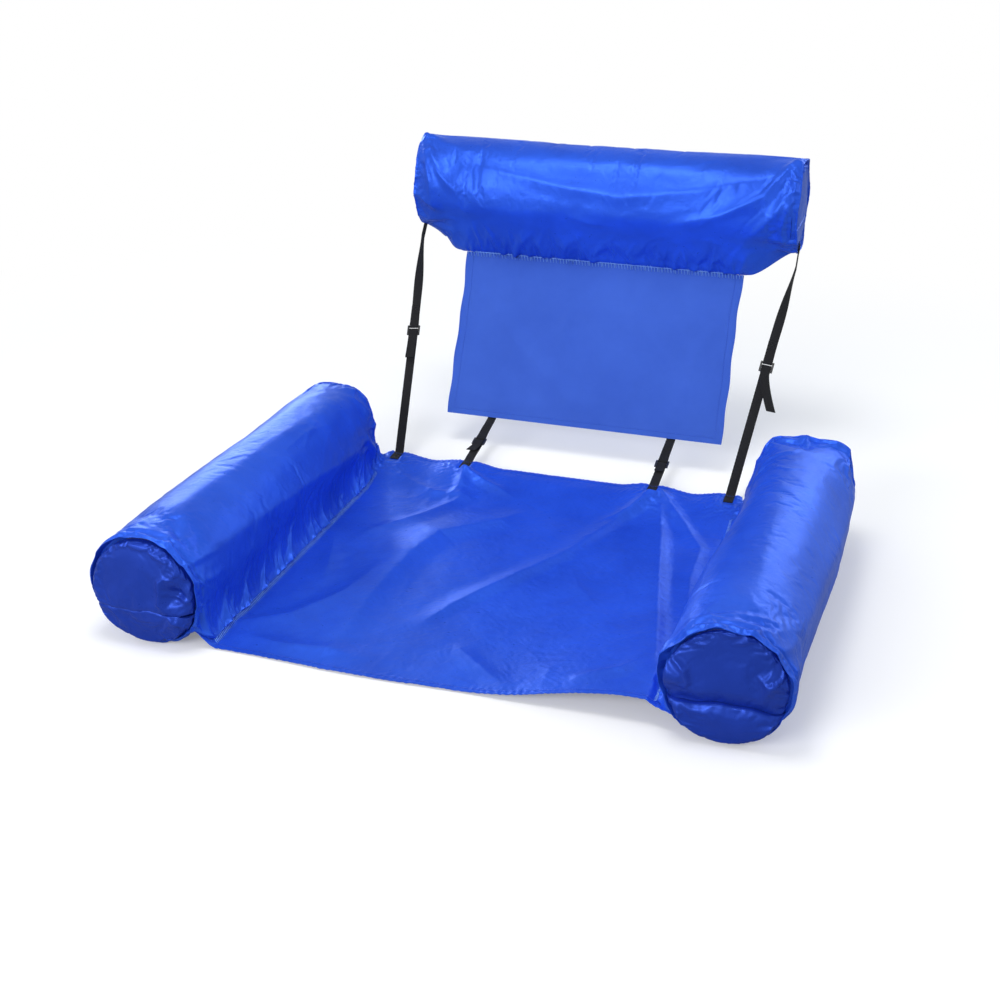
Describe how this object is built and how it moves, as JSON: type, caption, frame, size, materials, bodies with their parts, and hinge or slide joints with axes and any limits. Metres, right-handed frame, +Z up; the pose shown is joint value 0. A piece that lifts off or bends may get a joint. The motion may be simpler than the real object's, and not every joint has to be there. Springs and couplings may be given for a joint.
{
  "type": "inflatable water hammock",
  "caption": "Floating hammock: a fabric seat between inflatable arm bolsters, with a strap-held back panel and an inflatable headrest.",
  "frame": {"origin": "on the ground under the seat, midway between the arms and midway along them", "axes": "+Z up, +X to the right as seen from in front of the seat, +Y from the open front towards the backrest"},
  "size_m": [1.2, 1.3259, 0.6589],
  "materials": {
    "coated_nylon": "satin",
    "panel_polyester": "matte",
    "webbing": "matte",
    "acetal_black": "satin",
    "bladder_pvc": "gloss",
    "valve_plastic": "satin",
    "hook_tape": "matte",
    "loop_tape": "matte"
  },
  "bodies": {
    "seat": {"seat_sheet": "coated_nylon", "left_outer_anchor": "webbing", "left_inner_anchor": "webbing", "right_inner_anchor": "webbing", "right_outer_anchor": "webbing"},
    "left_arm": {"left_arm_sleeve": "coated_nylon", "left_arm_rear_cap": "coated_nylon", "left_arm_front_cap": "coated_nylon", "left_arm_loop_strip": "loop_tape", "left_arm_bladder": "bladder_pvc", "left_arm_valve": "valve_plastic"},
    "left_arm_flap_body": {"left_arm_flap": "coated_nylon", "left_arm_hook_strip": "hook_tape"},
    "left_arm_plug_body": {"left_arm_valve_plug": "valve_plastic"},
    "right_arm": {"right_arm_sleeve": "coated_nylon", "right_arm_rear_cap": "coated_nylon", "right_arm_front_cap": "coated_nylon", "right_arm_loop_strip": "loop_tape", "right_arm_bladder": "bladder_pvc", "right_arm_valve": "valve_plastic"},
    "right_arm_flap_body": {"right_arm_flap": "coated_nylon", "right_arm_hook_strip": "hook_tape"},
    "right_arm_plug_body": {"right_arm_valve_plug": "valve_plastic"},
    "webbing": {"left_outer_lower_strap": "webbing", "left_inner_lower_strap": "webbing", "right_inner_lower_strap": "webbing", "right_outer_lower_strap": "webbing"},
    "backrest": {"back_panel": "panel_polyester", "left_outer_upper_strap": "webbing", "left_inner_upper_strap": "webbing", "right_inner_upper_strap": "webbing", "right_outer_upper_strap": "webbing", "left_outer_buckle": "acetal_black", "left_inner_buckle": "acetal_black", "right_inner_buckle": "acetal_black", "right_outer_buckle": "acetal_black"},
    "headrest": {"headrest_sleeve": "coated_nylon", "headrest_left_cap": "coated_nylon", "headrest_right_cap": "coated_nylon", "headrest_loop_strip": "loop_tape", "headrest_bladder": "bladder_pvc", "headrest_valve": "valve_plastic"},
    "headrest_flap_body": {"headrest_flap": "coated_nylon", "headrest_hook_strip": "hook_tape"},
    "headrest_plug_body": {"headrest_valve_plug": "valve_plastic"}
  },
  "joints": [
    {"name": "back_fold", "type": "hinge", "parent": "seat", "child": "webbing", "pos_m": [0, 0.4625, 0.0305], "axis": [1, 0, 0], "range_deg": [-18, 95]},
    {"name": "strap_adjust", "type": "slide", "parent": "webbing", "child": "backrest", "axis": [0, 0.6348, 0.7727], "range_m": [-0.03, 0.03], "deforming": ["left_outer_lower_strap", "left_inner_lower_strap", "right_inner_lower_strap", "right_outer_lower_strap"]},
    {"name": "headrest_tilt", "type": "hinge", "parent": "backrest", "child": "headrest", "pos_m": [0, 0.77771, 0.40787], "axis": [-1, 0, 0], "range_deg": [-35, 25]},
    {"name": "left_arm_roll", "type": "hinge", "parent": "seat", "child": "left_arm", "pos_m": [-0.42246, 0, 0.02996], "axis": [0, -1, 0], "range_deg": [-35, 0]},
    {"name": "right_arm_roll", "type": "hinge", "parent": "seat", "child": "right_arm", "pos_m": [0.42246, 0, 0.02996], "axis": [0, 1, 0], "range_deg": [-35, 0]},
    {"name": "left_arm_flap_open", "type": "hinge", "parent": "left_arm", "child": "left_arm_flap_body", "pos_m": [-0.496, -0.3877, 0.07026], "axis": [1, 0, 0], "range_deg": [0, 85]},
    {"name": "right_arm_flap_open", "type": "hinge", "parent": "right_arm", "child": "right_arm_flap_body", "pos_m": [0.496, -0.3877, 0.07026], "axis": [1, 0, 0], "range_deg": [0, 85]},
    {"name": "headrest_flap_open", "type": "hinge", "parent": "headrest", "child": "headrest_flap_body", "pos_m": [0.42, 0.82271, 0.52048], "axis": [0, 1, 0], "range_deg": [0, 85]},
    {"name": "left_arm_plug_pull", "type": "slide", "parent": "left_arm", "child": "left_arm_plug_body", "axis": [0, -1, 0], "range_m": [0, 0.01]},
    {"name": "right_arm_plug_pull", "type": "slide", "parent": "right_arm", "child": "right_arm_plug_body", "axis": [0, -1, 0], "range_m": [0, 0.01]},
    {"name": "headrest_plug_pull", "type": "slide", "parent": "headrest", "child": "headrest_plug_body", "axis": [1, 0, 0], "range_m": [0, 0.01]}
  ]
}
